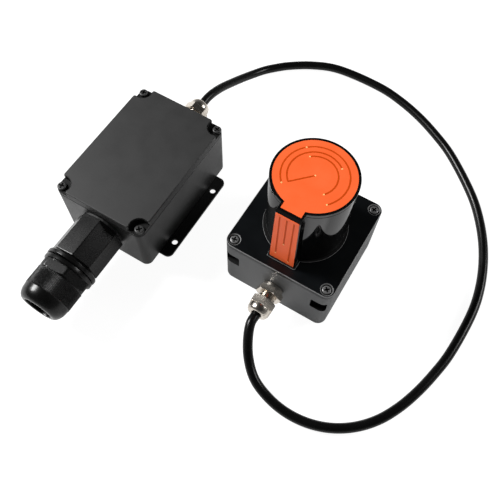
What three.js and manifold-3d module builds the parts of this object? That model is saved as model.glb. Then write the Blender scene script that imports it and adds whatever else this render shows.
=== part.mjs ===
// A scanning range finder on a square base, joined by one free cable to its interface box.
// Millimetres, +Z up. The origin is on the scan axis, at the underside of the scanner's base.
// +X is the scanner's right, and -Y is the side of its cable gland.
import * as THREE from 'three';
import { mergeVertices } from 'three/addons/utils/BufferGeometryUtils.js';
import Module from 'manifold-3d';

const wasm = await Module();
wasm.setup();

// ---- driving dimensions -------------------------------------------------------------------

const GAP = 0.3; // clearance between neighbouring pieces
const OVERCUT = 1; // how far a cutting tool runs past the face that it opens

const box = {
  x: -119, y: -13, width: 68.8, length: 100, top: 50, corner: 5,
  bottom: 2.3, lidBottom: 43.5, wall: 3, post: 9,
  screwX: 31, screwY: 46, screwSeat: 46.2, cove: 6.4,
};
const plate = { y: 0.8, width: 85, length: 75, thick: 2, corner: 5, holeX: 38.3, holeY: 25, holeR: 2.1 };
const base = {
  side: 76.6, top: 47, corner: 6, lidBottom: 44, wall: 3, post: 11,
  screw: 33, counterbore: 4.2, screwSeat: 45.1, lidBore: 21.6,
};
const pocket = { near: 26.4, far: 37, bottom: 23.4, top: 34, depth: 5 };
const head = {
  flangeR: 27.5, flangeBottom: 47.3, flangeTop: 48.1, flangeBore: 22.3,
  windowR: 26, windowBore: 23.5, windowTop: 100.7,
  capBottom: 101, top: 103.5, labelR: 24.4, labelThick: 0.6,
};
const pillar = { front: 31.2, topHalf: 8, footHalf: 9.2, bevel: 1.4, tabHalf: 6.5, tabEnd: 28.1 };
const screw = { headR: 3.1, headHeight: 1.8, shankR: 1.4, length: 9.5, crossWidth: 0.9, crossDepth: 1.1 };
const port = {
  x: 0.8, z: 27, flats: 32.4, turn: -12, barrel: 31.5, boreR: 11.2, threadR: 11.8, wallHoleR: 12.1,
  neckR: 13, neckEnd: 41, collarR: 18, nutR: 16.4, nutFlats: 32, nutStart: 36, nutEnd: 68,
  mouthR: 9.6, wrenchTurn: 5, wrenchEnd: 45.5,
};
const gland = {
  flats: 16.5, nutFlats: 15.5, spigotR: 6.2, collarR: 7.2, threadR: 6, nutBoreR: 6.4, sleeveR: 5.3,
  mouthR: 3.7, hexStart: 3.2, hexEnd: 7.4, threadEnd: 15, nutStart: 11.6, nutHexEnd: 17, end: 22.3,
  wallHoleR: 6.5,
};
const boxGlandZ = 27;
const baseGlandZ = 21;
const plateScrewY = 20;
const boardBottom = 9;
const baseBoardBottom = 7.8;
const mirrorMiddle = 73.5;
const shaftR = 2;

// The free cable: its diameter, and the middle of its route from the box gland to the scanner's.
const cableDiameter = 6.5;
const cableStep = 10;
const cableRoute = [
  [-119, 55.3, 27], [-119, 61, 27], [-119, 66.5, 27], [-118.6, 73, 26.1], [-117.7, 84, 22.5],
  [-115.9, 97, 17], [-113.6, 110, 11.4], [-110.3, 122, 6.9], [-105.8, 132.2, 4.4], [-99.2, 140.6, 3.4],
  [-91.7, 147.6, 3.3], [-75, 158.7, 3.3], [-56.3, 165.9, 3.3], [-16.4, 167, 3.3], [3.3, 163, 3.3],
  [22.3, 156.2, 3.3], [40.3, 147, 3.3], [57.4, 136, 3.3], [86.4, 109, 3.3], [98.2, 93.4, 3.3],
  [107.8, 76.4, 3.3], [114.8, 58.8, 3.3], [119.3, 40.8, 3.3], [121.2, 22.4, 3.3], [119.3, -13, 3.3],
  [116, -29.8, 3.3], [111.6, -45.8, 3.3], [105.8, -60.8, 3.3], [98, -74.5, 3.3], [87.8, -85.8, 3.3],
  [75.5, -94.2, 3.3], [61.9, -99.2, 3.3], [47.2, -100.8, 3.4], [33, -99, 4.4], [19.4, -94, 7.3],
  [9.4, -85.2, 12.2], [2.9, -75, 18.2], [0, -66.8, 21], [0, -61.6, 21], [0, -56.6, 21],
];

// ---- making and cutting solids ------------------------------------------------------------

const up = (geometry) => geometry.rotateX(Math.PI / 2);

function weld(geometry) {
  const bare = geometry.clone();
  bare.deleteAttribute('normal');
  bare.deleteAttribute('uv');
  return mergeVertices(bare, 1e-4);
}

function solidOf(geometry) {
  const welded = weld(geometry);
  const corners = Array.from(welded.index.array);
  const triangles = [];
  for (let i = 0; i < corners.length; i += 3) {
    const [a, b, c] = corners.slice(i, i + 3);
    if (a !== b && b !== c && c !== a) {
      triangles.push(a, b, c);
    }
  }
  const vertProperties = Float32Array.from(welded.attributes.position.array);
  const triVerts = Uint32Array.from(triangles);
  return new wasm.Manifold(new wasm.Mesh({ numProp: 3, vertProperties, triVerts }));
}

function geometryOf(solid) {
  const { vertProperties, triVerts } = solid.getMesh();
  const geometry = new THREE.BufferGeometry();
  geometry.setAttribute('position', new THREE.BufferAttribute(vertProperties, 3));
  geometry.setIndex(new THREE.BufferAttribute(triVerts, 1));
  geometry.computeVertexNormals();
  return geometry;
}

function cut(geometry, ...tools) {
  return geometryOf(tools.reduce((left, tool) => left.subtract(solidOf(tool)), solidOf(geometry)));
}

function join(geometry, ...others) {
  return geometryOf(others.reduce((sum, other) => sum.add(solidOf(other)), solidOf(geometry)));
}

function overlapOf(geometry, other) {
  return geometryOf(solidOf(geometry).intersect(solidOf(other)));
}

// ---- basic shapes -------------------------------------------------------------------------

// A solid turned about +Z. The outline is a list of [radius, height], and closes on itself.
function turned(outline, segments = 24) {
  const points = [...outline, outline[0]].map(([radius, height]) => new THREE.Vector2(radius, height));
  return up(new THREE.LatheGeometry(points, segments));
}

function ring(innerR, outerR, bottom, top, segments = 24) {
  return turned([[innerR, bottom], [outerR, bottom], [outerR, top], [innerR, top]], segments);
}

function disc(radius, bottom, top, segments = 24) {
  return up(new THREE.CylinderGeometry(radius, radius, top - bottom, segments))
    .translate(0, 0, (bottom + top) / 2);
}

function block(low, high) {
  const size = high.map((value, i) => value - low[i]);
  return new THREE.BoxGeometry(...size)
    .translate(...size.map((value, i) => low[i] + value / 2));
}

function prism(shape, bottom, top, curveSegments = 3) {
  const settings = { depth: top - bottom, bevelEnabled: false, curveSegments };
  return new THREE.ExtrudeGeometry(shape, settings).translate(0, 0, bottom);
}

function roundedRectangle(width, length, radius) {
  const x = width / 2;
  const y = length / 2;
  const shape = new THREE.Shape();
  shape.moveTo(-x + radius, -y);
  shape.lineTo(x - radius, -y);
  shape.absarc(x - radius, -y + radius, radius, -Math.PI / 2, 0);
  shape.lineTo(x, y - radius);
  shape.absarc(x - radius, y - radius, radius, 0, Math.PI / 2);
  shape.lineTo(-x + radius, y);
  shape.absarc(-x + radius, y - radius, radius, Math.PI / 2, Math.PI);
  shape.lineTo(-x, -y + radius);
  shape.absarc(-x + radius, -y + radius, radius, Math.PI, Math.PI * 1.5);
  return shape;
}

// A rectangle with a square notch at each corner, where the screw posts stand.
function notchedRectangle(width, length, notch) {
  const x = width / 2;
  const y = length / 2;
  const quarter = [[x - notch, -y], [x - notch, -y + notch], [x, -y + notch]];
  const mirror = (points, sx, sy) => points.map(([px, py]) => [px * sx, py * sy]);
  const outline = [
    ...quarter,
    ...mirror(quarter, 1, -1).reverse(),
    ...mirror(quarter, -1, -1),
    ...mirror(quarter, -1, 1).reverse(),
  ];
  return new THREE.Shape(outline.map(([px, py]) => new THREE.Vector2(px, py)));
}

function polygon(sides, flats, turnDegrees = 0) {
  const radius = flats / 2 / Math.cos(Math.PI / sides);
  const points = [];
  for (let i = 0; i < sides; i += 1) {
    const angle = (i / sides) * 2 * Math.PI + THREE.MathUtils.degToRad(turnDegrees);
    points.push(new THREE.Vector2(radius * Math.cos(angle), radius * Math.sin(angle)));
  }
  return new THREE.Shape(points);
}

function seal(width, length, post, bottom, top) {
  const outer = prism(notchedRectangle(width + 2.2, length + 2.2, post), bottom, top);
  return cut(outer, prism(notchedRectangle(width, length, post), bottom - OVERCUT, top + OVERCUT));
}

const corners = [[-1, -1], [1, -1], [1, 1], [-1, 1]];

// ---- materials ----------------------------------------------------------------------------

function finish(color, roughness, metalness = 0) {
  return () => new THREE.MeshStandardMaterial({ color, roughness, metalness });
}

const finishes = {
  housing: finish(0x2b2b2c, 0.6),
  lid: finish(0x1a1b1d, 0.5),
  nylon: finish(0x1d1d1e, 0.5),
  rubber: finish(0x141414, 0.8),
  window: finish(0x08080a, 0.08),
  label: finish(0xff6b35, 0.45),
  nickel: finish(0xc9c6bd, 0.25, 1),
  steel: finish(0x6d6e70, 0.35, 1),
  aluminium: finish(0xb4b6b9, 0.4, 1),
  board: finish(0x1d5a36, 0.5),
  lens: finish(0xbfd4dc, 0.05),
  mirror: finish(0xf2f2f2, 0.03, 1),
  jacket: finish(0x161617, 0.45),
};

function part(name, geometry, finishName) {
  const mesh = new THREE.Mesh(geometry, finishes[finishName]());
  mesh.name = name;
  return mesh;
}

function at(mesh, x, y, z) {
  mesh.position.set(x, y, z);
  return mesh;
}

// ---- fasteners and cable glands -----------------------------------------------------------

// A cross-recess pan-head screw: the underside of its head is at z = 0.
function panScrew(name) {
  const { headR, headHeight, shankR, length, crossWidth, crossDepth } = screw;
  const shape = turned([
    [0, -length], [shankR, -length], [shankR, 0], [headR, 0], [headR, headHeight - 0.6],
    [headR - 0.7, headHeight], [0, headHeight],
  ], 12);
  const half = headR * 0.58;
  const floor = headHeight - crossDepth;
  const slots = [
    block([-half, -crossWidth / 2, floor], [half, crossWidth / 2, headHeight + OVERCUT]),
    block([-crossWidth / 2, -half, floor], [crossWidth / 2, half, headHeight + OVERCUT]),
  ];
  return part(name, cut(shape, ...slots), 'steel');
}

// A small nickel-plated gland that clamps the cable. The wall's outer face is at z = 0.
function cableGland(prefix, wall, insideDepth) {
  const { flats, nutFlats, spigotR, collarR, threadR, nutBoreR, sleeveR, mouthR, end } = gland;
  const bodyShape = join(
    prism(polygon(6, flats, 10), gland.hexStart, gland.hexEnd),
    disc(collarR, GAP, gland.hexStart + OVERCUT, 20),
    disc(spigotR, -wall - insideDepth, GAP + OVERCUT, 20),
    disc(threadR, gland.hexEnd - OVERCUT, gland.threadEnd, 20),
  );
  const bore = disc(mouthR, -wall - insideDepth - OVERCUT, gland.threadEnd + OVERCUT, 20);
  const sealPocket = disc(sleeveR, 8.7, gland.threadEnd + OVERCUT, 20);
  const body = part(`${prefix}_gland_body`, cut(bodyShape, bore, sealPocket), 'nickel');
  const locknutShape = prism(polygon(6, flats), -wall - 4, -wall - GAP);
  const locknutBore = disc(spigotR + GAP, -wall - 4 - OVERCUT, -wall, 20);
  const locknut = part(`${prefix}_gland_locknut`, cut(locknutShape, locknutBore), 'nickel');
  const sleeve = part(`${prefix}_gland_seal`, ring(2.4, sleeveR - GAP, 9, 18, 20), 'rubber');
  const slipRing = part(`${prefix}_gland_ring`, ring(mouthR, sleeveR - GAP, 18.3, 19.3, 20), 'nickel');
  const nutShape = join(
    prism(polygon(6, nutFlats, 22), gland.nutStart, gland.nutHexEnd),
    turned([[0, gland.nutHexEnd - OVERCUT], [7.7, gland.nutHexEnd - OVERCUT], [7.7, 18.6],
      [7, 20.8], [5.6, end], [0, end]], 20),
  );
  const nutBore = disc(nutBoreR, gland.nutStart - OVERCUT, gland.threadEnd + 1, 20);
  const innerBore = disc(sleeveR, gland.threadEnd, 19.6, 20);
  const mouth = disc(mouthR, 19, end + OVERCUT, 20);
  const nut = part(`${prefix}_gland_nut`, cut(nutShape, nutBore, innerBore, mouth), 'nickel');
  return [body, locknut, sleeve, slipRing, nut];
}

// ---- interface box ------------------------------------------------------------------------

function boxBody() {
  const { width, length, corner, bottom, lidBottom, wall, post } = box;
  const top = lidBottom - GAP;
  const floor = bottom + wall;
  const cavity = notchedRectangle(width - 2 * wall, length - 2 * wall, post);
  const rebate = notchedRectangle(width - 2 * wall + 2.8, length - 2 * wall + 2.8, post);
  const tools = [
    prism(cavity, floor, top + OVERCUT),
    prism(rebate, top - 1.8, top + OVERCUT),
    disc(port.wallHoleR, 40, 60, 32).rotateX(Math.PI / 2).translate(port.x, 0, port.z),
    disc(gland.wallHoleR, -60, -40, 32).rotateX(Math.PI / 2).translate(0, 0, boxGlandZ),
  ];
  for (const [sx, sy] of corners) {
    tools.push(disc(screw.shankR + GAP, box.screwSeat - screw.length - 1, top + OVERCUT, 8)
      .translate(sx * box.screwX, sy * box.screwY, 0));
  }
  for (const sy of [-1, 1]) {
    tools.push(disc(1.9, bottom - OVERCUT, floor + OVERCUT, 16).translate(0, sy * plateScrewY, 0));
  }
  const shell = cut(prism(roundedRectangle(width, length, corner), bottom, top), ...tools);
  const bosses = corners.map(([sx, sy]) => (
    disc(2.6, floor - 0.5, boardBottom - GAP, 8).translate(sx * 20, sy * 32, 0)));
  return part('box_body', join(shell, ...bosses), 'housing');
}

function boxLid() {
  const { width, length, corner, lidBottom, top, screwSeat, cove } = box;
  const tools = [];
  for (const [sx, sy] of corners) {
    const x = sx * box.screwX;
    const y = sy * box.screwY;
    tools.push(disc(cove, screwSeat, top + OVERCUT, 20).translate(x, y, 0));
    tools.push(disc(screw.shankR + GAP, lidBottom - OVERCUT, screwSeat + OVERCUT, 8).translate(x, y, 0));
  }
  const lid = prism(roundedRectangle(width, length, corner), lidBottom, top);
  return part('box_lid', cut(lid, ...tools), 'lid');
}

function boxLidSeal() {
  const top = box.lidBottom - GAP;
  const inside = [box.width - 2 * box.wall, box.length - 2 * box.wall];
  return part('box_lid_seal', seal(...inside, box.post, top - 1.5, top), 'rubber');
}

function boxLidScrews() {
  return corners.map(([sx, sy], i) => at(
    panScrew(`box_lid_screw_${i + 1}`), sx * box.screwX, sy * box.screwY, box.screwSeat + 0.05));
}

function mountPlate() {
  const { y, width, length, thick, corner, holeX, holeY, holeR } = plate;
  const tools = corners.map(([sx, sy]) => (
    disc(holeR, -OVERCUT, thick + OVERCUT, 16).translate(sx * holeX, y + sy * holeY, 0)));
  for (const sy of [-1, 1]) {
    const countersink = turned([
      [0, -OVERCUT], [4.4, -OVERCUT], [4.4, 0], [1.9, thick], [1.9, thick + OVERCUT], [0, thick + OVERCUT],
    ], 16);
    tools.push(countersink.translate(0, sy * plateScrewY, 0));
  }
  const sheet = prism(roundedRectangle(width, length, corner), 0, thick).translate(0, y, 0);
  return part('box_mount_plate', cut(sheet, ...tools), 'housing');
}

// Countersunk screws, driven up through the plate into the box floor.
function plateScrews() {
  return [-1, 1].map((sy, i) => {
    const shape = turned([[0, 0.1], [3.8, 0.1], [1.5, 2.1], [1.5, 7.5], [0, 7.5]], 16);
    return at(part(`plate_screw_${i + 1}`, shape, 'steel'), 0, sy * plateScrewY, 0);
  });
}

function boxBoard() {
  return part('box_board', block([-25, -36, boardBottom], [25, 36, boardBottom + 1.6]), 'board');
}

function terminalBlock() {
  const bottom = boardBottom + 1.6 + GAP;
  const wireHoles = [];
  for (let i = 0; i < 6; i += 1) {
    const x = -12.5 + 5 * i;
    wireHoles.push(block([x - 1.3, 27, bottom + 2], [x + 1.3, 33, bottom + 5]));
  }
  const shape = block([-15.5, 20, bottom], [15.5, 32, bottom + 10]);
  return part('box_terminal_block', cut(shape, ...wireHoles), 'nylon');
}

function powerConverter() {
  const bottom = boardBottom + 1.6 + GAP;
  return part('box_power_converter', block([-20, -22, bottom], [2, -6, bottom + 9]), 'nylon');
}

function boardSocket() {
  const bottom = boardBottom + 1.6 + GAP;
  const shape = block([6, -14, bottom], [22, 7, bottom + 13]);
  const cavity = block([8, -18, bottom + 2], [20, -1, bottom + 9]);
  return part('box_board_socket', cut(shape, cavity), 'aluminium');
}

// ---- large port gland on the interface box: along +Z, with the wall's outer face at z = 0 --

function portBarrel() {
  const { flats, turn, barrel, boreR, threadR, neckR, neckEnd } = port;
  const start = 2.1;
  const shape = join(
    prism(polygon(8, flats, turn), start, barrel),
    disc(threadR, -box.wall - 8, start + OVERCUT),
    disc(neckR, barrel - OVERCUT, neckEnd),
  );
  return part('port_barrel', cut(shape, disc(boreR, -box.wall - 9, neckEnd + OVERCUT)), 'nylon');
}

function portGasket() {
  return part('port_gasket', ring(port.threadR + GAP, 15.4, GAP, 1.8), 'rubber');
}

function portLocknut() {
  const bottom = -box.wall - 5.5;
  const shape = prism(polygon(6, 29), bottom, -box.wall - GAP);
  const bore = disc(port.threadR + GAP, bottom - OVERCUT, 0);
  return part('port_locknut', cut(shape, bore), 'nylon');
}

function portCollar() {
  const { barrel, neckR, collarR } = port;
  const outline = [[neckR + GAP, barrel + GAP], [collarR - 1, barrel + GAP], [collarR, barrel + 1.2],
    [collarR, barrel + 4.2], [neckR + GAP, barrel + 4.2]];
  return part('port_collar', turned(outline), 'nylon');
}

// The socket that the gland's cable plugs into, set back in the barrel.
function networkSocket() {
  const shape = block([-7.6, -7, 1], [7.6, 6.4, 27]);
  const cavity = block([-5.9, -4.6, 12], [5.9, 2.4, 28]);
  return part('network_socket', cut(shape, cavity), 'aluminium');
}

function portSeal() {
  return part('port_seal', turned([[6.6, 42.5], [8.2, 41.4], [10, 42.5], [10, 60], [6.6, 60]], 24), 'rubber');
}

function portClaw() {
  const shape = ring(10.3, 12.2, 41.4, 62.4);
  const slots = [];
  for (let i = 0; i < 4; i += 1) {
    const slot = block([-0.6, -14, 48], [0.6, 14, 63]);
    slots.push(slot.rotateZ((i / 4) * Math.PI));
  }
  return part('port_claw', cut(shape, ...slots), 'nylon');
}

function portNut() {
  const { nutStart, nutEnd, nutR, nutFlats, neckR, collarR, mouthR, wrenchTurn, wrenchEnd } = port;
  const band = turned([[0, nutStart], [collarR - 0.4, nutStart], [collarR - 0.2, 39], [0, 39]]);
  const wrench = prism(polygon(6, nutFlats, wrenchTurn), 38.5, wrenchEnd);
  const dome = turned([
    [0, wrenchEnd - OVERCUT], [nutR, wrenchEnd - OVERCUT], [nutR, 58.6], [nutR - 0.5, 61.2],
    [nutR - 1.7, 63.8], [nutR - 3.4, 66.2], [nutR - 5.4, nutEnd], [0, nutEnd],
  ]);
  const shape = join(band, overlapOf(wrench, disc(collarR, 38, wrenchEnd + OVERCUT)), dome);
  const thread = disc(neckR + GAP, nutStart - OVERCUT, 56);
  const throat = turned([
    [0, 55], [neckR + GAP, 55], [neckR + GAP, 58], [12.6, 62.7], [mouthR, 64.8], [0, 64.8],
  ]);
  const mouth = disc(mouthR, 64, nutEnd + OVERCUT);
  return part('port_nut', cut(shape, thread, throat, mouth), 'nylon');
}

// ---- scanner base -------------------------------------------------------------------------

// A shallow window in the front or back face, beside a corner.
function sidePocket(sx, sy) {
  const xs = [sx * pocket.near, sx * pocket.far].sort((a, b) => a - b);
  const ys = [sy * (base.side / 2 - pocket.depth), sy * (base.side / 2 + OVERCUT)].sort((a, b) => a - b);
  return block([xs[0], ys[0], pocket.bottom], [xs[1], ys[1], pocket.top]);
}

function baseBody() {
  const { side, corner, lidBottom, wall, post } = base;
  const top = lidBottom - GAP;
  const inside = side - 2 * wall;
  const tools = [
    prism(notchedRectangle(inside, inside, post), wall, top + OVERCUT),
    prism(notchedRectangle(inside + 2.8, inside + 2.8, post), top - 1.8, top + OVERCUT),
    disc(gland.wallHoleR, 30, 45, 32).rotateX(Math.PI / 2).translate(0, 0, baseGlandZ),
  ];
  for (const [sx, sy] of corners) {
    tools.push(disc(screw.shankR + GAP, base.screwSeat - screw.length - 1, top + OVERCUT, 8)
      .translate(sx * base.screw, sy * base.screw, 0));
    tools.push(sidePocket(sx, sy));
  }
  const shell = cut(prism(roundedRectangle(side, side, corner), 0, top), ...tools);
  const bosses = corners.map(([sx, sy]) => (
    disc(2.6, wall - 0.5, baseBoardBottom - GAP, 8).translate(sx * 22, sy * 22, 0)));
  return part('base_body', join(shell, ...bosses), 'housing');
}

function baseLid() {
  const { side, corner, lidBottom, top, screwSeat, counterbore, lidBore } = base;
  const tools = [disc(lidBore, lidBottom - OVERCUT, top + OVERCUT, 32)];
  for (const [sx, sy] of corners) {
    const x = sx * base.screw;
    const y = sy * base.screw;
    tools.push(disc(counterbore, screwSeat, top + OVERCUT, 20).translate(x, y, 0));
    tools.push(disc(screw.shankR + GAP, lidBottom - OVERCUT, top, 8).translate(x, y, 0));
  }
  return part('base_lid', cut(prism(roundedRectangle(side, side, corner), lidBottom, top), ...tools), 'lid');
}

function baseLidSeal() {
  const top = base.lidBottom - GAP;
  const inside = base.side - 2 * base.wall;
  return part('base_lid_seal', seal(inside, inside, base.post, top - 1.5, top), 'rubber');
}

function baseLidScrews() {
  return corners.map(([sx, sy], i) => at(
    panScrew(`base_lid_screw_${i + 1}`), sx * base.screw, sy * base.screw, base.screwSeat + 0.05));
}

function controlBoard() {
  const plateShape = block([-24, -23.5, baseBoardBottom], [24, 24, baseBoardBottom + 1.6]);
  return part('control_board', plateShape, 'board');
}

// ---- scanner head -------------------------------------------------------------------------

function headFlange() {
  const foot = block([-10, -32.5, head.flangeBottom], [10, -20, head.flangeTop]);
  const shape = join(disc(head.flangeR, head.flangeBottom, head.flangeTop, 32), foot);
  const bore = disc(head.flangeBore, head.flangeBottom - OVERCUT, head.flangeTop + OVERCUT, 32);
  return part('head_flange', cut(shape, bore), 'rubber');
}

function scanWindow() {
  const bottom = head.flangeTop + GAP;
  return part('scan_window', ring(head.windowBore, head.windowR, bottom, head.windowTop, 32), 'window');
}

// The opaque rib behind the window: it carries the cap, and makes the scanner's blind sector.
function rearPillar() {
  const bottom = head.flangeTop + GAP;
  const { front, topHalf, footHalf } = pillar;
  const face = new THREE.Shape([
    new THREE.Vector2(-footHalf, bottom), new THREE.Vector2(footHalf, bottom),
    new THREE.Vector2(topHalf, head.windowTop), new THREE.Vector2(-topHalf, head.windowTop),
  ]);
  const rib = prism(face, 18, front).rotateX(Math.PI / 2);
  const around = disc(head.windowR + GAP, bottom - OVERCUT, head.windowTop + OVERCUT, 32);
  return part('rear_pillar', cut(rib, around), 'window');
}

function labelOutline(radius, tabHalf, tabEnd) {
  const tabAngle = Math.asin(tabHalf / radius);
  const shape = new THREE.Shape();
  shape.absarc(0, 0, radius, -Math.PI / 2 + tabAngle, Math.PI * 1.5 - tabAngle);
  shape.lineTo(-tabHalf, -tabEnd);
  shape.lineTo(tabHalf, -tabEnd);
  return shape;
}

function headCap() {
  const { windowR, capBottom, top, labelR, labelThick } = head;
  const { front, topHalf, bevel, tabHalf, tabEnd } = pillar;
  const shape = prism(labelOutline(windowR, topHalf, front), capBottom, top, 20);
  const half = bevel / Math.SQRT2;
  const edge = block([-topHalf - OVERCUT, -half, -half], [topHalf + OVERCUT, half, half])
    .rotateX(Math.PI / 4).translate(0, -front, top);
  const around = labelOutline(labelR + 0.1, tabHalf + 0.1, tabEnd + 0.1);
  const recess = prism(around, top - labelThick - 0.1, top + OVERCUT, 20);
  return part('head_cap', cut(shape, edge, recess), 'window');
}

function topLabel() {
  const { top, labelR, labelThick } = head;
  const outline = labelOutline(labelR, pillar.tabHalf, pillar.tabEnd);
  return part('top_label', prism(outline, top - labelThick, top, 20), 'label');
}

function stripLabel() {
  const low = head.flangeTop + 1;
  const high = head.top - pillar.bevel - 0.1;
  const face = new THREE.Shape([
    new THREE.Vector2(-8.4, low), new THREE.Vector2(8.4, low),
    new THREE.Vector2(7.4, high), new THREE.Vector2(-7.4, high),
  ]);
  const strip = prism(face, 0, 0.5).rotateX(Math.PI / 2).translate(0, -pillar.front - 0.1, 0);
  return part('strip_label', strip, 'label');
}

// ---- motor and rotor ----------------------------------------------------------------------

function motorBracket() {
  const outline = [[5.3, 28], [7, 28], [7, 39.5], [27, 39.5], [27, 41.7], [7, 41.7], [7, 57], [5.3, 57]];
  return part('motor_bracket', turned(outline), 'aluminium');
}

function bearing(name, bottom) {
  return part(name, ring(shaftR + 0.08, 5, bottom, bottom + 4, 24), 'steel');
}

function motorStator() {
  const outline = new THREE.Shape();
  const teeth = 9;
  const points = [];
  for (let i = 0; i < teeth; i += 1) {
    const middle = (i / teeth) * 2 * Math.PI;
    for (const [radius, offset] of [[9.6, -0.2], [14.9, -0.24], [14.9, 0.24], [9.6, 0.2]]) {
      const angle = middle + offset;
      points.push(new THREE.Vector2(radius * Math.cos(angle), radius * Math.sin(angle)));
    }
  }
  outline.setFromPoints(points);
  const shape = prism(outline, 45, 52);
  return part('motor_stator', cut(shape, disc(7.3, 44, 53, 32)), 'steel');
}

function rotorHub() {
  const outline = [
    [shaftR + GAP, 57.8], [15.6, 57.8], [15.6, 44], [17.8, 44], [17.8, 60], [shaftR + GAP, 60],
  ];
  return part('rotor_hub', turned(outline), 'aluminium');
}

function spindleShaft() {
  return part('spindle_shaft', disc(shaftR, 26, 59.7, 24), 'steel');
}

function encoderDisc() {
  return part('encoder_disc', ring(18.1, 21.5, 49.2, 50), 'steel');
}

function encoderSensor() {
  return part('encoder_sensor', block([-2.5, -22, 50.8], [2.5, -18.8, 54.6]), 'nylon');
}

// The half space above (side 1) or below (side -1) the mirror's 45 degree plane.
function slantBlock(low, high) {
  return block([-20, -30, low], [20, 30, high]).rotateX(-Math.PI / 4).translate(0, 0, mirrorMiddle);
}

function mirrorMount() {
  const shape = cut(disc(12, 60.3, 90), slantBlock(0, 30));
  return part('mirror_mount', shape, 'aluminium');
}

function scanMirror() {
  return part('scan_mirror', overlapOf(disc(12, 60.3, 90), slantBlock(0.3, 1.8)), 'mirror');
}

function opticsHolder() {
  const outline = [[12.4, 89], [13.8, 89], [13.8, 96], [21, 96], [21, 100.7], [12.4, 100.7]];
  return part('optics_holder', turned(outline), 'nylon');
}

function receiverLens() {
  const outline = [
    [3.6, 88.6], [6, 88.8], [9, 89.6], [12.1, 91.2], [12.1, 92.4], [9, 93.6], [6, 94.3], [3.6, 94.5],
  ];
  return part('receiver_lens', turned(outline), 'lens');
}

function laserModule() {
  return part('laser_module', disc(3.2, 88.8, 99.5, 24), 'aluminium');
}

// ---- cable --------------------------------------------------------------------------------

function cable() {
  const path = new THREE.CatmullRomCurve3(
    cableRoute.map((point) => new THREE.Vector3(...point)), false, 'centripetal');
  const section = new THREE.Shape();
  section.absarc(0, 0, cableDiameter / 2, 0, Math.PI * 2);
  const steps = Math.round(path.getLength() / cableStep);
  const settings = { steps, extrudePath: path, bevelEnabled: false, curveSegments: 5 };
  return part('cable', new THREE.ExtrudeGeometry(section, settings), 'jacket');
}

// ---- assembly -----------------------------------------------------------------------------

const inBox = new THREE.Group();
inBox.position.set(box.x, box.y, 0);
inBox.add(
  boxBody(), boxLid(), boxLidSeal(), ...boxLidScrews(), mountPlate(), ...plateScrews(),
  boxBoard(), terminalBlock(), powerConverter(), boardSocket(),
);

const portGland = new THREE.Group();
portGland.position.set(box.x + port.x, box.y - box.length / 2, port.z);
portGland.rotation.x = Math.PI / 2;
portGland.add(
  portBarrel(), portGasket(), portLocknut(), portCollar(), networkSocket(), portSeal(), portClaw(),
  portNut(),
);

const boxGland = new THREE.Group();
boxGland.position.set(box.x, box.y + box.length / 2, boxGlandZ);
boxGland.rotation.x = -Math.PI / 2;
boxGland.add(...cableGland('box', box.wall, 5));

const baseGland = new THREE.Group();
baseGland.position.set(0, -base.side / 2, baseGlandZ);
baseGland.rotation.x = Math.PI / 2;
baseGland.add(...cableGland('base', base.wall, 5));

const scanner = new THREE.Group();
scanner.add(
  baseBody(), baseLid(), baseLidSeal(), ...baseLidScrews(), controlBoard(),
  headFlange(), scanWindow(), rearPillar(), headCap(), topLabel(), stripLabel(),
  motorBracket(), bearing('lower_bearing', 29), bearing('upper_bearing', 52.5), motorStator(),
  rotorHub(), spindleShaft(), encoderDisc(), encoderSensor(), mirrorMount(), scanMirror(),
  opticsHolder(), receiverLens(), laserModule(),
);

const model = new THREE.Group();
model.add(inBox, portGland, boxGland, baseGland, scanner, cable());

export default model;
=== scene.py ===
"""A scanning range finder and its interface box, joined by one free cable, as a studio picture.

The frame is the CAD model's: metres, +Z up, the origin under the scanner's base on its scan axis.
Shapes are drawn in millimetres, in the local frame of the piece, and placed in metres at the end.
"""

import math

import bmesh
import bpy
from mathutils import Matrix, Vector


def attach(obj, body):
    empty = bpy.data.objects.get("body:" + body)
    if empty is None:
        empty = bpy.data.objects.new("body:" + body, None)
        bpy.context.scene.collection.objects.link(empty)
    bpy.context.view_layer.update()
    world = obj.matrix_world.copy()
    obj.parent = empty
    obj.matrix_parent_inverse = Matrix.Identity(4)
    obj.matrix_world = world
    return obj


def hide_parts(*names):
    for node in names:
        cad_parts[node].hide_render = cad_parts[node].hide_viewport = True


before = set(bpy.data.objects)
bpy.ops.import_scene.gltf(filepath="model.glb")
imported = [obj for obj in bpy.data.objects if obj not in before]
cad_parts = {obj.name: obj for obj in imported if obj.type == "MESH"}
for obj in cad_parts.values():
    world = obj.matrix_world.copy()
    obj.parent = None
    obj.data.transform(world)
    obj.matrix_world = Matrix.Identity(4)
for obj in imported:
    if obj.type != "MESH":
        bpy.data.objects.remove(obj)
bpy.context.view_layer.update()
scene = bpy.context.scene
scene.view_settings.view_transform = "Standard"

MM = 0.001


# ---- camera -------------------------------------------------------------------------------

def add_camera(location, yaw, pitch, roll, lens):
    """A camera at location. Yaw turns it from +Y towards +X, and pitch is how far it looks down."""
    yaw, pitch, roll = (math.radians(angle) for angle in (yaw, pitch, roll))
    forward = Vector((
        math.sin(yaw) * math.cos(pitch), math.cos(yaw) * math.cos(pitch), -math.sin(pitch)))
    level = Vector((math.cos(yaw), -math.sin(yaw), 0))
    above = level.cross(forward)
    right = level * math.cos(roll) + above * math.sin(roll)
    upward = above * math.cos(roll) - level * math.sin(roll)
    camera = bpy.data.objects.new("camera", bpy.data.cameras.new("camera"))
    camera.data.lens = lens
    camera.data.sensor_width = 36
    camera.data.clip_start = 0.01
    camera.matrix_world = Matrix.Translation(location) @ Matrix(
        (right, upward, -forward)).transposed().to_4x4()
    scene.collection.objects.link(camera)
    scene.camera = camera


add_camera((0.062546, -0.184741, 0.392873), yaw=-29.0, pitch=63.58, roll=2.3, lens=44.37)


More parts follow.
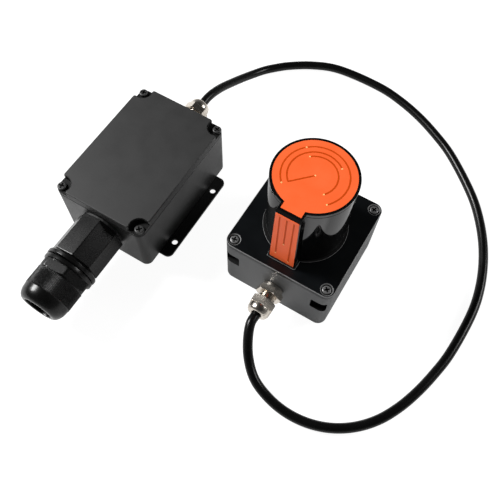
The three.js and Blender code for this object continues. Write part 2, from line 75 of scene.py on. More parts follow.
# ---- outlines: lists of (x, y), anticlockwise -------------------------------------------------

def rounded(points, radii, steps=4):
    """A closed outline with each corner rounded by its radius. A radius of 0 keeps the corner."""
    if not hasattr(radii, "__len__"):
        radii = [radii] * len(points)
    outline = []
    for i, corner in enumerate(points):
        corner = Vector(corner)
        before, after = Vector(points[i - 1]) - corner, Vector(points[(i + 1) % len(points)]) - corner
        half = before.angle(after) / 2
        if radii[i] == 0 or half > math.radians(89.5):
            outline.append(corner)
            continue
        reach = radii[i] / math.tan(half)
        reach = min(reach, before.length * 0.49, after.length * 0.49)
        radius = reach * math.tan(half)
        start = corner + before.normalized() * reach
        middle = corner + (before.normalized() + after.normalized()).normalized() * (
            radius / math.sin(half))
        end = corner + after.normalized() * reach
        sweep = (start - middle).angle_signed(end - middle)
        count = max(1, round(abs(math.degrees(sweep)) / 90 * steps))
        for k in range(count + 1):
            turn = Matrix.Rotation(-sweep * k / count, 2)
            outline.append(middle + turn @ (start - middle))
    return [(point[0], point[1]) for point in outline]


def rectangle(width, length, radius=0.0, steps=8):
    x, y = width / 2, length / 2
    return rounded([(-x, -y), (x, -y), (x, y), (-x, y)], radius, steps)


def regular(sides, flats, turn=0.0, radius=0.0, steps=4):
    """A regular polygon of that size across its flats, with one corner at turn degrees."""
    reach = flats / 2 / math.cos(math.pi / sides)
    angles = [math.radians(turn + 360 * i / sides) for i in range(sides)]
    return rounded([(reach * math.cos(a), reach * math.sin(a)) for a in angles], radius, steps * 2)


def arc(radius, start, end, steps, middle=(0, 0)):
    """Points on an arc from start to end, in degrees."""
    angles = [math.radians(start + (end - start) * i / steps) for i in range(steps + 1)]
    return [(middle[0] + radius * math.cos(a), middle[1] + radius * math.sin(a)) for a in angles]


def circle(radius, segments=64):
    return arc(radius, 0, 360 - 360 / segments, segments - 1)


def tabbed_circle(radius, half_tab, tab_end, steps=96):
    """A circle with a straight-sided tab towards -Y."""
    turn = math.degrees(math.asin(half_tab / radius))
    return [*arc(radius, -90 + turn, 270 - turn, steps), (-half_tab, -tab_end), (half_tab, -tab_end)]


def inset(outline, distance):
    """The outline moved inwards by distance, with mitred corners."""
    if distance == 0:
        return outline
    moved = []
    for i, point in enumerate(outline):
        here = Vector(point)
        back = (here - Vector(outline[i - 1])).normalized()
        on = (Vector(outline[(i + 1) % len(outline)]) - here).normalized()
        inward = Vector((-back.y - on.y, back.x + on.x))
        across = max(inward.length / 2, 0.3)
        here = here + inward.normalized() * (distance / across)
        moved.append((here.x, here.y))
    return moved


# ---- solids, in millimetres ---------------------------------------------------------------

def new_object(name, vertices, faces):
    """An object of those vertices and faces, welded, with its faces turned outwards."""
    mesh = bpy.data.meshes.new(name)
    mesh.from_pydata(vertices, [], faces)
    shape = bmesh.new()
    shape.from_mesh(mesh)
    bmesh.ops.remove_doubles(shape, verts=shape.verts, dist=1e-4)
    bmesh.ops.dissolve_degenerate(shape, edges=shape.edges, dist=1e-5)
    bmesh.ops.recalc_face_normals(shape, faces=shape.faces)
    shape.to_mesh(mesh)
    shape.free()
    obj = bpy.data.objects.new(name, mesh)
    scene.collection.objects.link(obj)
    return obj


def loft(name, rings, capped=True):
    """A solid through closed rings of points. Uncapped, the last ring joins on to the first."""
    count = len(rings[0])
    vertices = [point for ring in rings for point in ring]
    faces = []
    for k in range(len(rings) if not capped else len(rings) - 1):
        low, high = k * count, (k + 1) % len(rings) * count
        for i in range(count):
            j = (i + 1) % count
            faces.append((low + i, low + j, high + j, high + i))
    if capped:
        faces.append(tuple(reversed(range(count))))
        faces.append(tuple(range((len(rings) - 1) * count, len(rings) * count)))
    return new_object(name, vertices, faces)


def rounding(low, high, low_round, high_round, steps=3):
    """Levels (height, inset) of a slab whose lower and upper edges are rounded."""
    angles = [math.pi / 2 * i / steps for i in range(steps + 1)]
    bottom = [(low + low_round * (1 - math.sin(a)), low_round * (1 - math.cos(a)))
              for a in reversed(angles)] if low_round else [(low, 0)]
    top = [(high - high_round * (1 - math.sin(a)), high_round * (1 - math.cos(a)))
           for a in angles] if high_round else [(high, 0)]
    return bottom + top


def slab(name, outline, low, high, low_round=0.0, high_round=0.0, steps=3):
    """The outline raised from low to high, with rounded edges."""
    levels = rounding(low, high, low_round, high_round, steps)
    return loft(name, [[(x, y, z) for x, y in inset(outline, d)] for z, d in levels])


def turned(name, profile, segments=96, radius_at=None):
    """A closed profile of (radius, height) turned about +Z.

    radius_at(angle, radius, height), where it is given, changes the radius round each ring.
    """
    rings = []
    for radius, height in profile:
        ring = []
        for i in range(segments):
            angle = 2 * math.pi * i / segments
            here = radius_at(angle, radius, height) if radius_at else radius
            ring.append((here * math.cos(angle), here * math.sin(angle), height))
        rings.append(ring)
    return loft(name, rings, capped=False)


def block(name, low, high, radius=0.0):
    """A box from low to high, with its edges along +Z rounded."""
    size = [high[i] - low[i] for i in range(3)]
    middle = [(high[i] + low[i]) / 2 for i in range(2)]
    outline = [(x + middle[0], y + middle[1]) for x, y in rectangle(size[0], size[1], radius)]
    return slab(name, outline, low[2], high[2])


def apply_modifiers(obj):
    """Replaces obj's mesh by the one that its modifiers make."""
    graph = bpy.context.evaluated_depsgraph_get()
    made = bpy.data.meshes.new_from_object(obj.evaluated_get(graph))
    obj.modifiers.clear()
    old, obj.data = obj.data, made
    bpy.data.meshes.remove(old)
    return obj


def combine(obj, operation, *others):
    """obj with each of the others taken away, added or kept in common. The others are used up."""
    for other in others:
        modifier = obj.modifiers.new(operation.lower(), "BOOLEAN")
        modifier.operation = operation
        modifier.solver = "EXACT"
        modifier.object = other
        apply_modifiers(obj)
        bpy.data.objects.remove(other)
    return obj


def carve(obj, *tools):
    return combine(obj, "DIFFERENCE", *tools)


def fuse(obj, *others):
    return combine(obj, "UNION", *others)


def soften(obj, width, segments=2, angle=30):
    """Rounds obj's sharp edges by width."""
    modifier = obj.modifiers.new("soften", "BEVEL")
    modifier.width = width
    modifier.segments = segments
    modifier.angle_limit = math.radians(angle)
    modifier.miter_outer = "MITER_ARC"
    return apply_modifiers(obj)


def moved(obj, matrix):
    """obj's mesh moved by a matrix, in millimetres."""
    obj.data.transform(matrix)
    return obj


def shift(obj, x, y, z=0.0):
    return moved(obj, Matrix.Translation((x, y, z)))


def place(obj, to_world, body, nodes, materials, sharp=28):
    """Puts a finished shape in the frame, shades it, and says which CAD nodes it stands for."""
    obj.data.transform(to_world @ Matrix.Scale(MM, 4))
    obj.data.materials.clear()
    for material in materials if isinstance(materials, (list, tuple)) else [materials]:
        obj.data.materials.append(material)
    shape = bmesh.new()
    shape.from_mesh(obj.data)
    for face in shape.faces:
        face.smooth = True
    for edge in shape.edges:
        edge.smooth = len(edge.link_faces) == 2 and edge.calc_face_angle() < math.radians(sharp)
    shape.to_mesh(obj.data)
    shape.free()
    normals = obj.modifiers.new("normals", "WEIGHTED_NORMAL")
    normals.keep_sharp = True
    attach(obj, body)
    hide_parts(*nodes)
    return obj


def repaint(obj, index, chosen):
    """Gives material number index to the faces that chosen(middle in millimetres, normal) picks."""
    for face in obj.data.polygons:
        if chosen(face.center / MM, face.normal):
            face.material_index = index


def facing(axis, origin):
    """The frame of a gland: its own +Z points along the row's -Y or +Y, out of the wall."""
    turn = math.pi / 2 if axis == "-Y" else -math.pi / 2
    return Matrix.Translation(Vector(origin) * MM) @ Matrix.Rotation(turn, 4, "X")


# ---- materials ----------------------------------------------------------------------------

def noise(nodes, links, vector, size, detail=3.0):
    """A noise texture whose lumps are about size metres across."""
    node = nodes.new("ShaderNodeTexNoise")
    node.inputs["Scale"].default_value = 1 / size
    node.inputs["Detail"].default_value = detail
    links.new(vector, node.inputs["Vector"])
    return node


def finish(name, dark, light, rough, grain, relief, patch=0.012, stretch=(1, 1, 1), **constants):
    """A procedural finish.

    The colour runs from dark to light, and the roughness over the rough pair, with soft patches and
    a fine grain. Grain is the size of the surface's fine bumps and relief their height, in metres.
    Stretch squeezes the pattern along an axis, as turning or drawing marks do.
    """
    material = bpy.data.materials.new(name)
    material.use_nodes = True
    nodes, links = material.node_tree.nodes, material.node_tree.links
    shader = nodes["Principled BSDF"]
    for socket, value in constants.items():
        shader.inputs[socket.replace("_", " ")].default_value = value
    coordinates = nodes.new("ShaderNodeTexCoord")
    mapping = nodes.new("ShaderNodeMapping")
    mapping.inputs["Scale"].default_value = stretch
    links.new(coordinates.outputs["Object"], mapping.inputs["Vector"])
    vector = mapping.outputs["Vector"]
    broad = noise(nodes, links, vector, patch)
    fine = noise(nodes, links, vector, grain)

    blend = nodes.new("ShaderNodeMix")
    blend.data_type = "FLOAT"
    blend.inputs["Factor"].default_value = 0.4
    links.new(broad.outputs["Fac"], blend.inputs[2])
    links.new(fine.outputs["Fac"], blend.inputs[3])
    ramp = nodes.new("ShaderNodeValToRGB")
    ramp.color_ramp.elements[0].position = 0.35
    ramp.color_ramp.elements[0].color = (*dark, 1)
    ramp.color_ramp.elements[1].position = 0.65
    ramp.color_ramp.elements[1].color = (*light, 1)
    links.new(blend.outputs[0], ramp.inputs["Fac"])
    links.new(ramp.outputs["Color"], shader.inputs["Base Color"])

    spread = nodes.new("ShaderNodeMapRange")
    spread.inputs["From Min"].default_value = 0.3
    spread.inputs["From Max"].default_value = 0.7
    spread.inputs["To Min"].default_value = rough[0]
    spread.inputs["To Max"].default_value = rough[1]
    links.new(blend.outputs[0], spread.inputs["Value"])
    links.new(spread.outputs["Result"], shader.inputs["Roughness"])

    bump = nodes.new("ShaderNodeBump")
    bump.inputs["Strength"].default_value = 1.0
    bump.inputs["Distance"].default_value = relief
    links.new(fine.outputs["Fac"], bump.inputs["Height"])
    links.new(bump.outputs["Normal"], shader.inputs["Normal"])
    return material


def grey(value, warm=0.0):
    """A grey of that linear value. Warm tilts it to yellow, or to blue where it is negative."""
    return value * (1 + warm), value, value * (1 - warm)


RINGS = (0.02, 1, 0.02)  # marks that run round the row's Y axis
housing = finish(
    "cast_housing", grey(0.007), grey(0.011), (0.32, 0.42), 0.0007, 0.00003, Specular_IOR_Level=0.36)
box_lid_paint = finish("painted_lid", grey(0.015), grey(0.019), (0.5, 0.58), 0.0006, 0.00003)
base_paint = finish(
    "anodised_base", grey(0.055, -0.03), grey(0.075, -0.03), (0.46, 0.54), 0.0005, 0.00003)
base_lid_paint = finish(
    "anodised_lid", grey(0.002, -0.25), grey(0.0035, -0.25), (0.3, 0.38), 0.0005, 0.00002,
    Specular_IOR_Level=0.25)
# A light grey painted highlight for the rounded top edges of the head flange and the base lid.
painted_highlight = finish("painted_edge_highlight", grey(0.14), grey(0.26), (0.3, 0.45), 0.0005, 0.00003)
nylon = finish(
    "moulded_nylon", grey(0.002), grey(0.004), (0.24, 0.3), 0.0009, 0.00001, Specular_IOR_Level=0.26)
rubber = finish("rubber", grey(0.006), grey(0.012), (0.6, 0.75), 0.0006, 0.00004)
# Black: the head flange's own colour, and painted shade on the screw recesses, the lid coves and the
# base pockets.
black_and_shade = finish(
    "black_and_painted_shade", grey(0.002), grey(0.004), (0.5, 0.6), 0.0008, 0.00003, Specular_IOR_Level=0.2)
acrylic = finish("black_acrylic", grey(0.002), grey(0.0035), (0.035, 0.06), 0.02, 0.00001)
orange = finish(
    "orange_label", (0.93, 0.125, 0.025), (0.98, 0.145, 0.035), (0.46, 0.54), 0.0004, 0.000012,
    Specular_IOR_Level=0.3)
trace = finish(
    "label_trace", (0.5, 0.05, 0.001), (0.62, 0.07, 0.002), (0.5, 0.6), 0.0004, 0.00001,
    Specular_IOR_Level=0.1)
pale = finish("label_dot", (0.95, 0.5, 0.16), (1.0, 0.58, 0.24), (0.4, 0.5), 0.0004, 0.00001)
nickel = finish(
    "nickel_plate", (0.55, 0.49, 0.42), (0.78, 0.73, 0.66), (0.14, 0.26), 0.0004, 0.00002,
    stretch=RINGS, Metallic=1.0)
screw_steel = finish(
    "screw_steel", grey(0.16), grey(0.26), (0.34, 0.46), 0.0003, 0.00001, Metallic=0.55)
dark_screw = finish(
    "blackened_screw", grey(0.03), grey(0.06), (0.34, 0.46), 0.0003, 0.00001, Metallic=0.4)
steel = finish("bright_steel", grey(0.4), grey(0.5), (0.25, 0.4), 0.0004, 0.00001, Metallic=1.0)
aluminium = finish(
    "aluminium", grey(0.6), grey(0.72), (0.3, 0.45), 0.0005, 0.00002, Metallic=1.0)
board = finish(
    "circuit_board", (0.006, 0.07, 0.022), (0.012, 0.12, 0.04), (0.3, 0.5), 0.0012, 0.00003)
glass = finish("coated_lens", (0.3, 0.42, 0.5), (0.4, 0.5, 0.62), (0.03, 0.06), 0.01, 0.00001)
silver = finish("mirror_silver", grey(0.85), grey(0.93), (0.01, 0.03), 0.02, 0.00001, Metallic=1.0)
jacket = finish(
    "cable_jacket", grey(0.002), grey(0.0035), (0.24, 0.3), 0.0008, 0.000012, Specular_IOR_Level=0.2)


# ---- cable --------------------------------------------------------------------------------

CABLE_DIAMETER = 6.5
BOX_GLAND = (-119, 37, 27)
BASE_GLAND = (0, -38.3, 21)
GLAND_END = 22.3
CABLE_ROUTE = [
    (-119, 55.3, 27), (-119, 61, 27), (-119, 66.5, 27), (-118.6, 73, 26.1), (-117.7, 84, 22.5),
    (-115.9, 97, 17), (-113.6, 110, 11.4), (-110.3, 122, 6.9), (-105.8, 132.2, 4.4),
    (-99.2, 140.6, 3.4), (-91.7, 147.6, 3.3), (-75, 158.7, 3.3), (-56.3, 165.9, 3.3),
    (-16.4, 167, 3.3), (3.3, 163, 3.3), (22.3, 156.2, 3.3), (40.3, 147, 3.3), (57.4, 136, 3.3),
    (86.4, 109, 3.3), (98.2, 93.4, 3.3), (107.8, 76.4, 3.3), (114.8, 58.8, 3.3), (119.3, 40.8, 3.3),
    (121.2, 22.4, 3.3), (119.3, -13, 3.3), (116, -29.8, 3.3), (111.6, -45.8, 3.3),
    (105.8, -60.8, 3.3), (98, -74.5, 3.3), (87.8, -85.8, 3.3), (75.5, -94.2, 3.3),
    (61.9, -99.2, 3.3), (47.2, -100.8, 3.4), (33, -99, 4.4), (19.4, -94, 7.3), (9.4, -85.2, 12.2),
    (2.9, -75, 18.2), (0, -66.8, 21), (0, -61.6, 21), (0, -56.6, 21),
]


def smooth_route(route, spacing):
    """Points about spacing apart on a centripetal Catmull-Rom curve through the route."""
    points = [Vector(point) for point in route]
    points = [2 * points[0] - points[1], *points, 2 * points[-1] - points[-2]]
    made = [points[1]]
    for a, b, c, d in zip(points, points[1:], points[2:], points[3:]):
        knots = [0.0]
        for start, end in ((a, b), (b, c), (c, d)):
            knots.append(knots[-1] + math.sqrt((end - start).length))
        steps = max(2, round((c - b).length / spacing))
        for k in range(1, steps + 1):
            at = knots[1] + (knots[2] - knots[1]) * k / steps

            def between(i, j, p, q):
                share = (at - knots[i]) / (knots[j] - knots[i])
                return p.lerp(q, share)

            first, second, third = between(0, 1, a, b), between(1, 2, b, c), between(2, 3, c, d)
            made.append(between(1, 2, between(0, 2, first, second), between(1, 3, second, third)))
    return made


def make_cable():
    curve = bpy.data.curves.new("cable_run", "CURVE")
    curve.dimensions = "3D"
    curve.bevel_depth = CABLE_DIAMETER / 2 * MM
    curve.bevel_resolution = 8
    curve.use_fill_caps = True
    points = smooth_route(CABLE_ROUTE, 2)
    spline = curve.splines.new("POLY")
    spline.points.add(len(points) - 1)
    for point, place_at in zip(spline.points, points):
        point.co = (*(place_at * MM), 1)
    spline.use_smooth = True
    obj = bpy.data.objects.new("cable_run", curve)
    scene.collection.objects.link(obj)
    curve.materials.append(jacket)
    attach(obj, "housings")
    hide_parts("cable")


make_cable()


# ---- screws -------------------------------------------------------------------------------

def pan_screw(name, head_radius, height):
    """A pan head with a cross recess, its underside at height 0, and a short shank."""
    profile = rounded(
        [(0, -9.5), (1.4, -9.5), (1.4, 0), (head_radius, 0), (head_radius, height), (0, height)],
        [0, 0, 0, 0.2, height * 0.42, 0], 8)
    head = turned(name, profile, 48)
    arm = head_radius * 0.7
    for turn in (0, 90):
        cross = loft("cross", [
            [(x * (0.55 if z < height - 1 else 1.0), y * (0.6 if z < height - 1 else 1.0), z)
             for x, y in rectangle(arm * 2, 1.15, 0.25, 2)]
            for z in (height - 1.3, height + 0.3)])
        carve(head, moved(cross, Matrix.Rotation(math.radians(turn), 4, "Z")))
    return head


def place_screws(prefix, spots, head_radius, height, seat, material):
    """Four screws at their spots, each with its recess turned a little differently."""
    for i, (x, y) in enumerate(spots):
        name = f"{prefix}_{i + 1}"
        shape = pan_screw(f"{name}_head", head_radius, height)
        moved(shape, Matrix.Rotation(math.radians(12 + 31 * i), 4, "Z"))
        shift(shape, x, y, seat + 0.05)
        place(shape, Matrix(), "housings", [name], [material, black_and_shade])
        top = seat + 0.05 + height

        # Faces inside the cross recess get the black material: painted shade.
        def painted_recess_shade(middle, normal):
            out = math.hypot(middle.x - x, middle.y - y)
            return out < head_radius * 0.72 and middle.z < top - 0.2 and middle.z > top - 1.5

        repaint(shape, 1, painted_recess_shade)


CORNERS = [(-1, -1), (1, -1), (1, 1), (-1, 1)]


# ---- interface box ------------------------------------------------------------------------

BOX = dict(
    x=-119, y=-13, width=68.8, length=100, corner=5, bottom=2.3, lid_bottom=43.5, top=50, wall=3,
    post=9, screw_x=31, screw_y=46, screw_seat=46.2, cove=6.4)
PLATE = dict(y=0.8, width=85, length=75, thick=2, corner=4.5, hole_x=38.3, hole_y=25, hole=2.1)
PORT_X = 0.8
PORT_Z = 27
TO_BOX = Matrix.Translation(Vector((BOX["x"], BOX["y"], 0)) * MM)
GAP = 0.3


def notched(width, length, notch):
    """A rectangle without a square at each corner, where the screw posts stand."""
    x, y, n = width / 2, length / 2, notch
    return [
        (x - n, -y), (x - n, -y + n), (x, -y + n), (x, y - n), (x - n, y - n), (x - n, y),
        (-x + n, y), (-x + n, y - n), (-x, y - n), (-x, -y + n), (-x + n, -y + n), (-x + n, -y)]


def lay_along_y(obj, height):
    """Turns a tool made along +Z to lie along the row's Y, at that height."""
    return moved(obj, Matrix.Translation((0, 0, height)) @ Matrix.Rotation(math.pi / 2, 4, "X"))


def make_box_body():
    top = BOX["lid_bottom"] - GAP
    inside = (BOX["width"] - 2 * BOX["wall"], BOX["length"] - 2 * BOX["wall"])
    body = slab(
        "box_shell", rectangle(BOX["width"], BOX["length"], BOX["corner"], 10), BOX["bottom"], top,
        0.8, 0.35)
    carve(body, slab("cavity", notched(*inside, BOX["post"]), BOX["bottom"] + 3, top + 1))
    half = BOX["length"] / 2
    port_hole = lay_along_y(slab("bore", circle(12.1), half - 5, half + 2), PORT_Z)
    carve(body, shift(port_hole, PORT_X, 0))
    carve(body, lay_along_y(slab("bore", circle(6.5), -half - 2, -half + 5), BOX_GLAND[2]))
    place(body, TO_BOX, "housings", ["box_body"], housing)


def coved_corner(width, length, centre, radius, fillet):
    """The outline of the corner towards +X +Y: a cove round the screw, with softened lips."""
    x, y = width / 2 - fillet, length / 2 - fillet
    reach = radius + fillet
    low = Vector((x, centre[1] - math.sqrt(reach ** 2 - (x - centre[0]) ** 2)))
    high = Vector((centre[0] - math.sqrt(reach ** 2 - (y - centre[1]) ** 2), y))
    middle = Vector(centre)
    low_angle = math.degrees(math.atan2(*(middle - low).yx))
    high_angle = math.degrees(math.atan2(*(middle - high).yx))
    return [
        *arc(fillet, 0, low_angle, 5, low),
        *arc(radius, low_angle - 180, high_angle - 180, 16, middle)[1:-1],
        *arc(fillet, high_angle, 90, 5, high),
    ]


def coved_outline(width, length, centre, radius, fillet):
    """A rectangle with a cove cut in each corner."""
    quarter = coved_corner(width, length, centre, radius, fillet)
    outline = []
    for sx, sy in ((1, 1), (-1, 1), (-1, -1), (1, -1)):
        points = [(sx * x, sy * y) for x, y in quarter]
        outline += points if sx * sy > 0 else reversed(points)
    return outline


def make_box_lid():
    """A flat lid whose corners are scooped out round the screws, down to a ledge."""
    width, length = BOX["width"], BOX["length"]
    lower = slab(
        "lid_lower", rectangle(width, length, BOX["corner"], 10), BOX["lid_bottom"], BOX["screw_seat"],
        0.35, 0.25)
    outline = coved_outline(width, length, (BOX["screw_x"], BOX["screw_y"]), BOX["cove"], 1.6)
    upper = slab("box_cover", outline, BOX["screw_seat"] - 1, BOX["top"], 0, 0.7, 4)
    fuse(upper, lower)
    for sx, sy in CORNERS:
        hole = slab("hole", circle(1.7, 24), BOX["lid_bottom"] - 1, BOX["screw_seat"] + 1)
        carve(upper, shift(hole, sx * BOX["screw_x"], sy * BOX["screw_y"]))
    place(upper, TO_BOX, "housings", ["box_lid"], [box_lid_paint, black_and_shade])

    # Faces of the coves round the lid screws get the black material: painted shade.
    def painted_cove_shade(middle, normal):
        x, y = abs(middle.x - BOX["x"]), abs(middle.y - BOX["y"])
        near = math.hypot(x - BOX["screw_x"], y - BOX["screw_y"]) < BOX["cove"] + 0.6
        return near and middle.z > BOX["lid_bottom"] + 0.5

    repaint(upper, 1, painted_cove_shade)
    spots = [(BOX["x"] + sx * BOX["screw_x"], BOX["y"] + sy * BOX["screw_y"]) for sx, sy in CORNERS]
    place_screws("box_lid_screw", spots, 3.1, 1.8, BOX["screw_seat"], dark_screw)


def make_plate():
    hole = PLATE["hole"]
    plate = slab(
        "mount_plate", rectangle(PLATE["width"], PLATE["length"], PLATE["corner"], 8), 0,
        PLATE["thick"], 0.3, 0.5)
    shift(plate, 0, PLATE["y"])
    for sx, sy in CORNERS:
        rim = turned("rim", [(0, -1), (hole, -1), (hole, 1.6), (hole + 0.8, 2.4), (0, 2.4)], 40)
        carve(plate, shift(rim, sx * PLATE["hole_x"], PLATE["y"] + sy * PLATE["hole_y"]))
    for sy in (-1, 1):
        sink = turned("sink", [(0, -1), (4.4, -1), (4.4, 0), (1.9, 2), (1.9, 3), (0, 3)], 40)
        carve(plate, shift(sink, 0, sy * 20))
    place(plate, TO_BOX, "housings", ["box_mount_plate"], housing)


make_box_body()
make_box_lid()
make_plate()


# ---- large port gland ---------------------------------------------------------------------

PORT = dict(
    flats=32.4, turn=-12, barrel=31.5, bore=11.2, thread=11.8, neck=13, neck_end=41, collar=18,
    nut=16.4, nut_flats=32, nut_end=68, wrench_turn=5, wrench_end=45.5, mouth=9.6)
TO_PORT = facing("-Y", (BOX["x"] + PORT_X, BOX["y"] - BOX["length"] / 2, PORT_Z))
RIBS = 96


def polygon_radius(angle, sides, flats, turn):
    """The distance to the side of a regular polygon, seen from its middle."""
    step = 2 * math.pi / sides
    off = (angle - math.radians(turn)) % step - step / 2
    return flats / 2 / math.cos(off)


def make_barrel():
    """The long octagonal sleeve, and the threaded neck that its nut runs on."""
    sleeve = slab(
        "port_sleeve", regular(8, PORT["flats"], PORT["turn"], 1.1, 5), 2.1, PORT["barrel"], 0.5, 0.7)
    ridges = []
    for k in range(6):
        start = PORT["barrel"] + 1 + 1.5 * k
        ridges += [(PORT["neck"] - 0.5, start), (PORT["neck"], start + 0.5), (PORT["neck"], start + 0.9)]
    neck = turned("neck", [
        (0, PORT["barrel"] - 1), (PORT["neck"] - 0.5, PORT["barrel"] - 1), *ridges,
        (PORT["neck"] - 0.5, PORT["neck_end"]), (0, PORT["neck_end"])], 64)
    spigot = slab("spigot", circle(PORT["thread"]), -11, 3)
    fuse(sleeve, neck, spigot)
    carve(sleeve, slab("bore", circle(PORT["bore"]), -12, PORT["neck_end"] + 1))
    place(sleeve, TO_PORT, "housings", ["port_barrel"], nylon)


def make_collar():
    start, outer, inner = PORT["barrel"] + GAP, PORT["collar"], PORT["neck"] + GAP
    profile = rounded([
        (inner, start), (outer - 0.9, start), (outer, start + 1.2), (outer, start + 3.6),
        (inner, start + 3.6)], [0, 0.4, 0.5, 0.6, 0])
    place(turned("port_band", profile), TO_PORT, "housings", ["port_collar"], nylon)


def nut_radius(angle, radius, height):
    """The clamping nut's outline: a trimmed hexagon, then a barrel with fine ribs, then its dome."""
    if PORT["wrench_end"] - 6.2 < height < PORT["wrench_end"] + 0.01 and radius > PORT["neck"] + 1:
        return min(radius, polygon_radius(angle, 6, PORT["nut_flats"], PORT["wrench_turn"]))
    if 46.3 < height < 58.4 and radius > PORT["neck"] + 1:
        return radius - 0.14 + 0.14 * math.cos(RIBS * angle)
    return radius


def make_port_nut():
    """One closed profile: up the outside, over the mouth, and back down the bore."""
    nut, end, inner = PORT["nut"], PORT["nut_end"], PORT["neck"] + GAP
    trimmed = PORT["collar"]
    outside = [
        (inner, 36), (17.2, 36), (17.6, 36.3), (17.7, 36.8), (17.7, 38.4), (17.4, 38.9), (16.5, 39.1),
        (16.5, 39.29), (trimmed - 0.5, 39.5), (trimmed, 40), (trimmed, 44.6), (trimmed - 0.8, 45.3),
        (16.6, 45.5), (16.6, 45.8), (nut + 0.1, 46.1), (nut, 46.4), (nut, 49), (nut, 52), (nut, 55),
        (nut, 58.2), (nut, 58.5), (nut - 0.25, 58.8), (nut - 0.3, 59.4),
    ]
    dome = [(nut - 0.35 - 5.0 * (1 - math.cos(math.pi / 2 * i / 10)),
             59.4 + (end - 59.4) * math.sin(math.pi / 2 * i / 10)) for i in range(1, 11)]
    inside = [
        (PORT["mouth"] + 0.5, end), (PORT["mouth"] + 0.1, end - 0.2), (PORT["mouth"], end - 0.7),
        (PORT["mouth"], 65.2), (12.6, 62.7), (inner, 58), (inner, 40)]
    shape = turned("port_cap", [*outside, *dome, *inside], RIBS * 6, nut_radius)
    place(shape, TO_PORT, "port_nut", ["port_nut"], nylon)


def make_claw():
    """A ring of springy fingers that the nut closes on the cable."""
    profile = rounded([(10.3, 41.4), (12.2, 41.4), (12.2, 60.5), (11.2, 62.4), (10.3, 62.4)], 0.35, 4)
    claw = turned("port_fingers", profile, 120)
    for i in range(6):
        gap = block("gap", (-0.45, -14, 47), (0.45, 14, 64))
        carve(claw, moved(gap, Matrix.Rotation(math.pi * i / 6, 4, "Z")))
    place(claw, TO_PORT, "port_clamp", ["port_claw"], nylon)


def make_port_seal():
    profile = rounded([(6.6, 42.5), (8.2, 41.4), (10, 42.5), (10, 60), (6.6, 60)], 0.7, 5)
    place(turned("port_grommet", profile), TO_PORT, "port_clamp", ["port_seal"], rubber)


make_barrel()
make_collar()
make_port_nut()
make_claw()
make_port_seal()


# ---- small glands -------------------------------------------------------------------------

GLAND = dict(
    flats=16.5, nut_flats=15.5, collar=7.2, spigot=6.2, thread=6, nut_bore=6.4, sleeve=5.3, mouth=3.7,
    hex_start=3.2, hex_end=7.4, thread_end=15, nut_start=11.6, nut_hex_end=17)


def hexagon_nut(name, flats, turn, low, high, trim=0.55):
    """A hexagonal prism whose corners are turned off to a cone at each end."""
    reach = flats / 2 / math.cos(math.pi / 6)
    prism = slab(name, regular(6, flats, turn), low, high)
    cone = turned("cone", [
        (0, low), (reach - trim * 1.6, low), (reach, low + trim), (reach, high - trim),
        (reach - trim * 1.6, high), (0, high)], 72)
    combine(prism, "INTERSECT", cone)
    return soften(prism, 0.18)


def make_gland_body(prefix, to_world, wall):
    """The nickel body: a round collar at the wall, the wrench hexagon, and the thread."""
    body = hexagon_nut(
        f"{prefix}_gland_base", GLAND["flats"], 10, GLAND["hex_start"], GLAND["hex_end"])
    collar = turned("collar", rounded([
        (0, GAP), (GLAND["collar"], GAP), (GLAND["collar"], GLAND["hex_start"] + 0.2),
        (0, GLAND["hex_start"] + 0.2)], [0, 0.3, 0.2, 0]), 72)
    spigot = slab("spigot", circle(GLAND["spigot"]), -wall - 5, GAP + 0.5)
    ridges = []
    for k in range(6):
        start = GLAND["hex_end"] + 0.4 + 1.2 * k
        ridges += [(GLAND["thread"] - 0.45, start), (GLAND["thread"], start + 0.4),
                   (GLAND["thread"], start + 0.75), (GLAND["thread"] - 0.45, start + 1.1)]
    thread = turned("thread", [
        (0, GLAND["hex_end"] - 0.3), (GLAND["thread"] - 0.45, GLAND["hex_end"] - 0.3), *ridges,
        (GLAND["thread"] - 0.45, GLAND["thread_end"]), (0, GLAND["thread_end"])], 72)
    fuse(body, collar, spigot, thread)
    bore = turned("bore", [
        (0, -wall - 6), (GLAND["mouth"], -wall - 6), (GLAND["mouth"], 8.7), (GLAND["sleeve"], 8.7),
        (GLAND["sleeve"], 16), (0, 16)], 72)
    carve(body, bore)
    place(body, to_world, "housings", [f"{prefix}_gland_body"], nickel)


def make_gland_nut(prefix, to_world):
    """The nickel nut: a hexagon, a domed nose, and a flat mouth round the cable."""
    nut = hexagon_nut(
        f"{prefix}_gland_cap", GLAND["nut_flats"], 22, GLAND["nut_start"], GLAND["nut_hex_end"], 0.5)
    dome = [(7.7 - 2.3 * (1 - math.cos(math.pi / 2 * i / 8)), 18 + 4.3 * math.sin(math.pi / 2 * i / 8))
            for i in range(9)]
    nose = turned("nose", [(0, 16.4), (7.3, 16.4), (7.7, 17.1), *dome, (0, GLAND_END)], 96)
    fuse(nut, nose)
    bore = turned("bore", [
        (0, 11), (GLAND["nut_bore"], 11), (GLAND["nut_bore"], 16), (GLAND["sleeve"], 16),
        (GLAND["sleeve"], 19.6), (GLAND["mouth"], 19.6), (GLAND["mouth"], 21.9), (4.1, 22.4), (0, 22.4)],
        72)
    carve(nut, bore)
    place(nut, to_world, f"{prefix}_gland_nut", [f"{prefix}_gland_nut"], nickel)


for gland_prefix, gland_origin, gland_axis in (("box", BOX_GLAND, "+Y"), ("base", BASE_GLAND, "-Y")):
    to_gland = facing(gland_axis, gland_origin)
    make_gland_body(gland_prefix, to_gland, 3)
    make_gland_nut(gland_prefix, to_gland)


# ---- scanner base -------------------------------------------------------------------------

BASE = dict(
    side=76.6, top=47, corner=6, lid_bottom=44, wall=3, post=11, screw=33, counterbore=4.2,
    screw_seat=45.1, lid_bore=21.6)
POCKET = dict(near=26.4, far=37, bottom=23.4, top=34, depth=5)


